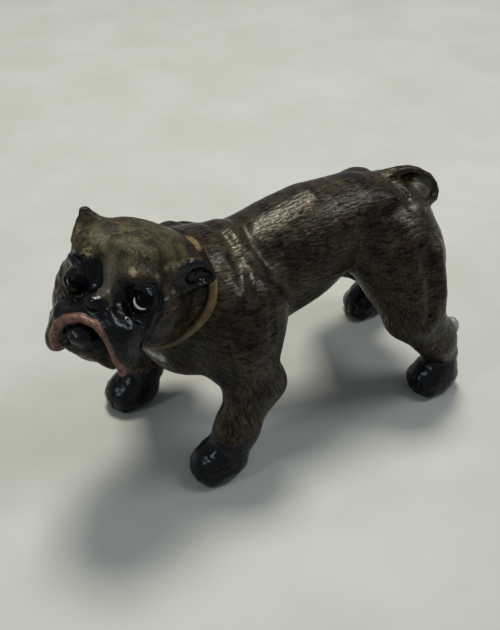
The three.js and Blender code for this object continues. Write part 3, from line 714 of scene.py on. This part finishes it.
# ---- Paint --------------------------------------------------------------------------------------
class Paint:
    """A Principled material that is put together node by node, measured in millimetres."""

    def __init__(self, name, **values):
        self.material = bpy.data.materials.new(name)
        self.material.use_nodes = True
        self.tree = self.material.node_tree
        self.shader = self.tree.nodes["Principled BSDF"]
        for key, value in values.items():
            self.shader.inputs[key.replace("_", " ")].default_value = value
        place = self.node("ShaderNodeTexCoord")
        scale = self.node("ShaderNodeMapping")
        scale.inputs["Scale"].default_value = (1000, 1000, 1000)
        self.link(place.outputs["Object"], scale.inputs["Vector"])
        self.millimetres = scale.outputs["Vector"]

    def node(self, kind, **options):
        node = self.tree.nodes.new(kind)
        for key, value in options.items():
            setattr(node, key, value)
        return node

    def link(self, value, socket):
        if isinstance(value, bpy.types.NodeSocket):
            self.tree.links.new(value, socket)
        else:
            socket.default_value = value

    def mask(self, name):
        return self.node("ShaderNodeAttribute", attribute_name=name).outputs["Fac"]

    def noise(self, per_mm, detail=3.0, rough=0.55, warp=0.0):
        noise = self.node("ShaderNodeTexNoise")
        self.link(self.millimetres, noise.inputs["Vector"])
        for key, value in (("Scale", per_mm), ("Detail", detail), ("Roughness", rough), ("Distortion", warp)):
            noise.inputs[key].default_value = value
        return noise.outputs["Fac"]

    def streaks(self, scale):
        """Noise drawn out along one axis, finest where the scale, in repeats per millimetre, is high."""
        stretch = self.node("ShaderNodeMapping")
        stretch.inputs["Scale"].default_value = scale
        self.link(self.millimetres, stretch.inputs["Vector"])
        noise = self.node("ShaderNodeTexNoise")
        self.link(stretch.outputs["Vector"], noise.inputs["Vector"])
        for key, value in (("Scale", 1.0), ("Detail", 3.0), ("Roughness", 0.6), ("Distortion", 0.6)):
            noise.inputs[key].default_value = value
        return noise.outputs["Fac"]

    def span(self, value, low, high, to_low=0.0, to_high=1.0):
        """A value that runs from low to high, made to run smoothly from to_low to to_high, and held there."""
        node = self.node("ShaderNodeMapRange", interpolation_type="SMOOTHSTEP")
        for socket, v in zip(node.inputs, (value, low, high, to_low, to_high)):
            self.link(v, socket)
        return node.outputs["Result"]

    def math(self, operation, a, b):
        node = self.node("ShaderNodeMath", operation=operation, use_clamp=True)
        self.link(a, node.inputs[0])
        self.link(b, node.inputs[1])
        return node.outputs[0]

    def blend(self, factor, a, b):
        node = self.node("ShaderNodeMix", data_type="FLOAT")
        for socket, value in ((node.inputs[0], factor), (node.inputs[2], a), (node.inputs[3], b)):
            self.link(value, socket)
        return node.outputs[0]

    def mix(self, factor, a, b):
        node = self.node("ShaderNodeMix", data_type="RGBA")
        self.link(factor, node.inputs["Factor"])
        for socket, colour in ((node.inputs[6], a), (node.inputs[7], b)):
            self.link((*colour, 1) if isinstance(colour, tuple) else colour, socket)
        return node.outputs[2]

    def bump(self, height, distance, strength=1.0):
        node = self.node("ShaderNodeBump")
        node.inputs["Distance"].default_value = distance
        node.inputs["Strength"].default_value = strength
        self.link(height, node.inputs["Height"])
        self.link(node.outputs["Normal"], self.shader.inputs["Normal"])

    def finish(self, **sockets):
        for key, value in sockets.items():
            self.link(value, self.shader.inputs[key.replace("_", " ")])
        return self.material


def coat_paint():
    """Thin cold paint over bronze: dark browns, worn to golden metal on raised places and darker in the cuts,
    with a painted golden sheen on the hair streaks, painted highlights on the brows and painted shade round
    the eyes.
    """
    p = Paint("coat_paint")
    broad, patch, fine = p.noise(0.10, 2.0), p.noise(0.35, 5.0, 0.65, 0.4), p.noise(2.2, 4.0, 0.7)
    black, lip, pale, olive = p.mask("black"), p.mask("lip"), p.mask("pale"), p.mask("olive")
    chase = p.span(p.mask("chase"), 0.15, 0.8)
    hair = p.blend(p.mask("legs"), p.streaks((4.4, 0.70, 4.4)), p.streaks((3.8, 3.8, 0.75)))
    hair = p.blend(olive, hair, fine)
    ridge = p.math("MULTIPLY", p.span(hair, 0.48, 0.66), p.span(patch, 0.28, 0.60, 0.35, 1.0))
    ridge = p.math("MULTIPLY", ridge, p.span(broad, 0.40, 0.60, 0.45, 1.0))
    colour = p.mix(p.span(patch, 0.42, 0.62), (0.0035, 0.0026, 0.0018), (0.014, 0.0090, 0.0052))
    red = p.math("MULTIPLY", p.span(broad, 0.46, 0.60), p.span(fine, 0.4, 0.7))
    colour = p.mix(red, colour, (0.030, 0.011, 0.005))
    warm = p.math("MULTIPLY", p.mask("warm"), p.span(patch, 0.35, 0.7))
    colour = p.mix(warm, colour, (0.030, 0.023, 0.010))
    crown = p.mix(p.span(patch, 0.38, 0.62), (0.0085, 0.0058, 0.0028), (0.052, 0.040, 0.016))
    colour = p.mix(p.span(olive, 0, 1, 0, 0.88), colour, crown)
    # Painted sheen: the hair streaks are tinted lighter and golden to stand in for glints of light on the
    # coat.
    colour = p.mix(p.span(ridge, 0, 1, 0, 0.42), colour, (0.110, 0.085, 0.044))
    # Golden metal worn through on raised places.
    rub_and_glints = p.math("MULTIPLY", p.mask("wear"), p.span(fine, 0.42, 0.62))
    rub_and_glints = p.math("MULTIPLY", rub_and_glints, p.span(patch, 0.40, 0.60))
    # Golden specks on the crown, partly painted glints of light.
    specks = p.span(p.noise(1.5, 5.0, 0.75, 0.5), 0.58, 0.70)
    speckle = p.math("MULTIPLY", p.span(olive, 0, 1, 0, 0.6), specks)
    rub_and_glints = p.math("MAXIMUM", rub_and_glints, speckle)
    colour = p.mix(rub_and_glints, colour, (0.20, 0.165, 0.085))
    colour = p.mix(p.span(chase, 0, 1, 0, 0.50), colour, (0.0020, 0.0016, 0.0012))
    # Near black in the hollows as patina, and round the eyes as painted shade.
    colour = p.mix(p.span(p.mask("hollow_patina_and_shade"), 0.0, 1.0, 0.0, 0.85), colour, (0.0016, 0.0012, 0.0012))
    chalk = p.mix(fine, (0.022, 0.020, 0.014), (0.080, 0.074, 0.054))
    colour = p.mix(p.span(pale, 0, 1, 0, 0.8), colour, chalk)
    gloss_black = p.mix(p.span(patch, 0.38, 0.66), (0.0008, 0.0010, 0.0022), (0.0040, 0.0042, 0.0034))
    colour = p.mix(p.span(black, 0, 1, 0, 0.97), colour, gloss_black)
    # Golden spots on the brows: worn metal, painted brighter to serve as highlights.
    gold_rub_and_highlight = p.math("MULTIPLY", p.mask("gold_rub_and_highlight"), p.span(fine, 0.38, 0.62))
    colour = p.mix(p.span(gold_rub_and_highlight, 0, 1, 0, 0.85), colour, (0.42, 0.35, 0.20))
    lips = p.mix(p.span(fine, 0.35, 0.65), (0.085, 0.034, 0.024), (0.21, 0.115, 0.080))
    wrinkled = p.span(p.streaks((0.4, 2.4, 0.4)), 0.44, 0.60, 0, 0.5)
    colour = p.mix(lip, colour, p.mix(wrinkled, lips, (0.050, 0.020, 0.014)))
    bare = p.math("MULTIPLY", p.mask("bare"), p.span(fine, 0.36, 0.56))
    colour = p.mix(bare, colour, (0.42, 0.42, 0.43))
    rough = p.blend(olive, p.blend(ridge, p.span(patch, 0.3, 0.7, 0.28, 0.44), 0.24), 0.60)
    rough = p.blend(lip, p.blend(black, rough, p.span(fine, 0.3, 0.7, 0.11, 0.24)), 0.42)
    gleam = p.blend(chase, p.blend(ridge, p.span(fine, 0.35, 0.65, 0.12, 0.36), 0.85), 0.04)
    gleam = p.blend(p.mask("hollow_patina_and_shade"), p.blend(black, gleam, 0.25), 0.05)
    grain = p.math("MULTIPLY", p.noise(5.0, 4.0, 0.6), 0.4)
    p.bump(p.math("ADD", grain, p.math("MULTIPLY", hair, 0.6)), 0.00006, 0.8)
    # Metallic where the metal is worn through, and where the painted glints and brow highlights are.
    rub_and_glint_metal = p.math("MULTIPLY", p.math("MAXIMUM", rub_and_glints, gold_rub_and_highlight), 0.6)
    metal = p.math("MAXIMUM", rub_and_glint_metal, p.math("MULTIPLY", bare, 0.8))
    sheen = p.math("MULTIPLY", ridge, p.math("SUBTRACT", 0.5, p.math("ADD", black, lip)))
    return p.finish(Base_Color=colour, Roughness=rough, Specular_IOR_Level=gleam,
                    Metallic=p.math("MAXIMUM", metal, sheen),
                    Specular_Tint=p.mix(black, (1.0, 0.93, 0.78), (0.86, 0.93, 1.0)))


def collar_paint():
    """Ochre paint on the strap, rubbed and grimy."""
    p = Paint("collar_paint")
    patch, fine = p.noise(0.7, 4.0, 0.6, 0.5), p.noise(3.0, 4.0, 0.7)
    colour = p.mix(p.span(patch, 0.35, 0.65), (0.052, 0.029, 0.007), (0.140, 0.078, 0.018))
    colour = p.mix(p.span(fine, 0.35, 0.7, 0, 0.6), colour, (0.17, 0.115, 0.040))
    # Darker towards the strap's edges, and where the ochre is worn off at the nape.
    colour = p.mix(p.math("MAXIMUM", p.mask("hollow_patina_and_shade"), p.mask("worn")), colour, (0.008, 0.006, 0.004))
    p.bump(p.noise(4.0, 4.0, 0.6), 0.00004, 0.8)
    return p.finish(Base_Color=colour, Roughness=p.span(patch, 0.3, 0.7, 0.38, 0.55),
                    Specular_IOR_Level=p.blend(p.mask("worn"), 0.45, 0.04))


def eye_paint():
    """Gloss black with a painted crescent of white."""
    p = Paint("eye_paint", Specular_IOR_Level=0.05)
    fine = p.noise(2.5, 3.0)
    white = p.mix(p.span(fine, 0.35, 0.65), (0.70, 0.68, 0.58), (0.90, 0.88, 0.78))
    pupil = p.mix(fine, (0.0008, 0.0008, 0.0012), (0.003, 0.003, 0.004))
    colour = p.mix(p.mask("white"), pupil, white)
    p.bump(p.noise(3.0, 2.0), 0.00001, 0.6)
    return p.finish(Base_Color=colour, Roughness=p.span(fine, 0.3, 0.7, 0.14, 0.26))


# ---- The castings -------------------------------------------------------------------------------
def build():
    coat = coat_paint()
    whole = Clay(*BODY_BOX, BODY_STEP)
    plain_dog(whole)
    tail_clay = whole.like()
    tail(tail_clay)
    plain = whole.field
    whole.field = np.maximum(merged(plain, tail_clay.field, SOFT_SEAM), -whole.grid()[2])
    regions = {"tail": tail_clay.field - plain}
    for s, side in ((1, "left"), (-1, "right")):
        regions[f"front_{side}_leg"] = leg_region(whole, s, FRONT_SEAM)
        regions[f"hind_{side}_leg"] = leg_region(whole, s, HIND_SEAM)
    torso = beyond(whole, COLLAR_AT, COLLAR_AXIS)
    for name, region in regions.items():
        skin_piece(name, whole, region, coat)
        torso = np.maximum(torso, -region)
    skin_piece("torso", whole, torso, coat, INSET)

    fine = Clay(*HEAD_BOX, HEAD_STEP)
    plain_dog(fine)
    ear_clay = fine.like()
    ears(ear_clay)
    ear_side = ear_clay.field - fine.field
    collar(fine)
    fine.field = merged(fine.field, ear_clay.field, SOFT_SEAM)
    x = fine.grid()[0]
    for s, side in ((1, "left"), (-1, "right")):
        own_ear = np.maximum(ear_side, s * (EAR_PARTING - x))
        skin_piece(f"{side}_ear", fine, own_ear, coat)
    head = np.maximum(-beyond(fine, COLLAR_AT, COLLAR_AXIS), -ear_side)
    skin_piece("head", fine, head, coat, INSET)

    eyes = eye_paint()
    for s, side in ((1, "left"), (-1, "right")):
        points, faces, masks = eyeball(s)
        mesh_piece(f"{side}_eyeball", points, faces, masks, eyes, "head")


def collar(clay):
    """A strap of even width that follows the neck, thin where it is worn at the nape."""
    axis = np.array(COLLAR_AXIS) / np.linalg.norm(COLLAR_AXIS)
    out = np.cross(axis, (0, 1, 0))
    out /= np.linalg.norm(out)
    side = np.cross(axis, out)
    angles = np.linspace(-math.pi, math.pi, 181)
    rays = np.cos(angles)[:, None] * out + np.sin(angles)[:, None] * side
    reaches = np.arange(5, 22, 0.05)
    along = np.array(COLLAR_AT) + rays[:, None, :] * reaches[None, :, None]
    inside = clay.sample(along.reshape(-1, 3)).reshape(len(angles), -1) < 0
    neck = reaches[np.argmin(inside, 1)]
    neck = np.convolve(np.concatenate([neck[-6:-1], neck, neck[1:6]]), np.ones(11) / 11, "valid")
    x, y, z = (g - p for g, p in zip(clay.grid(), COLLAR_AT))
    height, a, b = (x * d[0] + y * d[1] + z * d[2] for d in (axis, out, side))
    around = np.arctan2(b, a)
    height = height - COLLAR_SHIFT - 0.2 * np.sin(3 * around)
    from_line = np.hypot(height, np.hypot(a, b) - np.interp(around, angles, neck)) - COLLAR_WIDTH / 2
    thick = COLLAR_STANDS_OUT * (1 - 0.75 * step(z + 0 * height, 3, 7)) - 0.15
    strap = -merged(-(clay.field - thick), -from_line, 0.35)
    points, quads = clay.like(np.maximum(strap, -(clay.field + 0.5))).skin()
    edge = np.abs((points - np.array(COLLAR_AT)) @ axis) / (COLLAR_WIDTH / 2)
    worn = step(points[:, 2] + 2.0 * wander(points, 4), 45.5, 48.5)
    worn = worn * step(np.linalg.norm(points - np.array((3.4, -12.2, 52.0)), axis=1), 1.2, 2.8)
    # Darker towards the strap's edges.
    masks = {"hollow_patina_and_shade": step(edge, 0.7, 1.1) * 0.6, "worn": worn}
    mesh_piece("collar_strap", points, (quads,), masks, collar_paint(), "collar")


# ---- Stage --------------------------------------------------------------------------------------
CAMERA_TARGET = (4.28, 0.0, 30.0)
CAMERA_AZIMUTH = 59.8
CAMERA_ELEVATION = 38.0
CAMERA_DISTANCE = 190.4
CAMERA_LENS = 51.43
FLOOR_SIZE = 6                  # metres, as are the places and sizes of the lights
MIDDLE_OF_DOG = Vector((0, 0, 0.03))


def camera():
    azimuth, elevation = math.radians(CAMERA_AZIMUTH), math.radians(CAMERA_ELEVATION)
    out = Vector((math.sin(azimuth) * math.cos(elevation), -math.cos(azimuth) * math.cos(elevation),
                  math.sin(elevation)))
    data = bpy.data.cameras.new("camera")
    data.sensor_width, data.lens, data.clip_start = 36, CAMERA_LENS, 0.01
    eye_object = bpy.data.objects.new("camera", data)
    eye_object.location = Vector(to_metres(np.array(CAMERA_TARGET))) + out * CAMERA_DISTANCE * 0.001
    eye_object.rotation_euler = out.to_track_quat("Z", "Y").to_euler()
    bpy.context.scene.collection.objects.link(eye_object)
    bpy.context.scene.camera = eye_object


def floor():
    p = Paint("floor", Roughness=0.75)
    patch = p.noise(0.03, 3.0)
    colour = p.mix(p.span(patch, 0.3, 0.7), (0.372, 0.375, 0.336), (0.408, 0.412, 0.374))
    bpy.ops.mesh.primitive_plane_add(size=FLOOR_SIZE)
    plane = bpy.context.object
    plane.name = "floor"
    plane.data.materials.append(p.finish(Base_Color=colour))


def area_light(name, at, size, power, colour):
    """A soft box that looks at the dog."""
    data = bpy.data.lights.new(name, "AREA")
    data.size, data.energy, data.color = size, power, colour
    lamp = bpy.data.objects.new(name, data)
    lamp.location = at
    lamp.rotation_euler = (Vector(at) - MIDDLE_OF_DOG).to_track_quat("Z", "Y").to_euler()
    bpy.context.scene.collection.objects.link(lamp)


def lights():
    world = bpy.data.worlds.new("studio")
    world.use_nodes = True
    world.node_tree.nodes["Background"].inputs["Color"].default_value = (0.84, 0.92, 1.0, 1)
    world.node_tree.nodes["Background"].inputs["Strength"].default_value = 0.27
    bpy.context.scene.world = world
    area_light("key", (-0.22, 0.09, 0.72), 0.20, 5.4, (1.0, 0.96, 0.88))
    area_light("window", (0.20, 0.38, 0.56), 0.22, 1.6, (0.90, 0.95, 1.0))
    area_light("front", (0.05, -0.42, 0.30), 0.07, 0.40, (0.86, 0.93, 1.0))
    bpy.context.scene.view_settings.view_transform = "Standard"


build()
camera()
floor()
lights()
